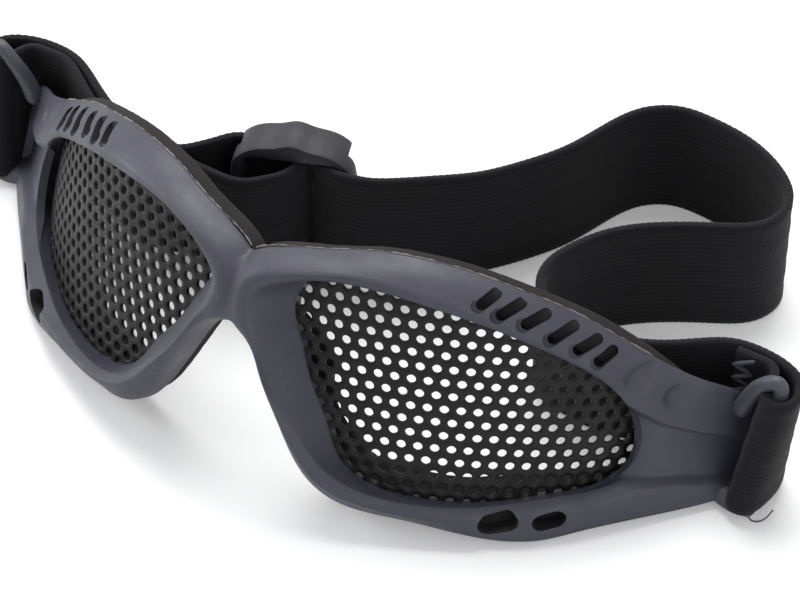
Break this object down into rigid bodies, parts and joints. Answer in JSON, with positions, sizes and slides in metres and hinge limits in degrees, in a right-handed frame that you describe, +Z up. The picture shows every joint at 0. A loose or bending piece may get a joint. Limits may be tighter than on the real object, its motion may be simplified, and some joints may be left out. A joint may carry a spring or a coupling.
{
  "type": "mesh safety goggles",
  "caption": "Wraparound goggles with perforated steel lenses in a soft moulded frame, foam seal, and an elastic strap with a sliding adjuster, standing with the strap folded behind.",
  "frame": {"origin": "Centre of the whole object's plan box, on the surface that it stands on.", "axes": "+Z up, the lenses face -Y, +X is the wearer's left; the frame leans back as it stands in the picture."},
  "size_m": [0.1796, 0.1112, 0.0492],
  "materials": {
    "frame": "satin slate grey soft moulding, lightly dusty",
    "mesh": "black coated perforated steel sheet",
    "foam": "matt dark grey closed cell foam",
    "webbing": "black ribbed elastic webbing",
    "thread": "dark zigzag stitching",
    "adjuster": "dark grey moulded plastic, slight sheen"
  },
  "bodies": {
    "goggles": {"frame_moulding": "frame", "mesh_lens_left": "mesh", "mesh_lens_right": "mesh", "foam_seal": "foam", "strap_loop_left": "webbing", "strap_loop_right": "webbing", "loop_tack_left": "thread"},
    "strap": {"strap_band": "webbing", "strap_return": "webbing", "return_tack": "thread"},
    "slider": {"strap_slider": "adjuster"}
  },
  "joints": [
    {"name": "strap_tilt", "type": "hinge", "parent": "goggles", "child": "strap", "pos_m": [0, 0.0012, 0.0147], "axis": [1, 0, 0], "range_deg": [-20, 8]},
    {"name": "slider_slide", "type": "slide", "parent": "strap", "child": "slider", "axis": [0.9239, 0.3827, 0], "range_m": [0, 0.003]}
  ]
}
